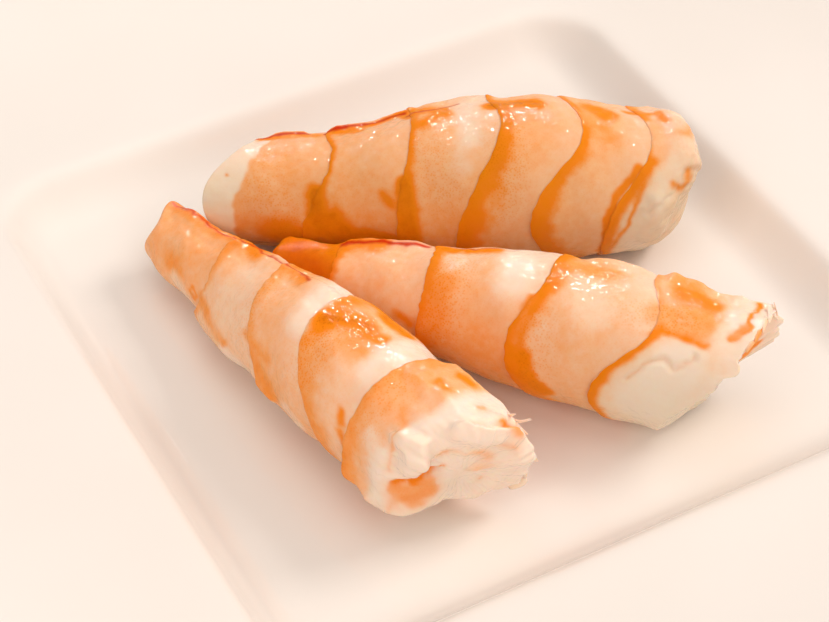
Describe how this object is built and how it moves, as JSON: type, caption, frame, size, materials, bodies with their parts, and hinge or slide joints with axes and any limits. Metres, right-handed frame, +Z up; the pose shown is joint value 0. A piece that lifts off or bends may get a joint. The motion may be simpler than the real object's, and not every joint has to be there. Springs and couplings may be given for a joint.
{
  "type": "peeled king prawns on a square plate",
  "caption": "Cooked, peeled king prawn tails with orange banded segments, lying in the shallow well of a square white glazed side plate with a broad sloping rim.",
  "frame": {"origin": "middle of the foot ring's underside, on the surface the plate stands on", "axes": "+Z up; +X and +Y along the plate's sides, with the prawns' tail ends towards -X and +Y"},
  "size_m": [0.176, 0.176, 0.0296],
  "materials": {
    "glaze": "clear gloss glaze on white porcelain",
    "prawn_flesh": "moist cooked prawn flesh, white with orange bands"
  },
  "bodies": {
    "root": {"plate": "glaze", "prawn_front": "prawn_flesh", "prawn_middle": "prawn_flesh", "prawn_back": "prawn_flesh"}
  },
  "joints": []
}
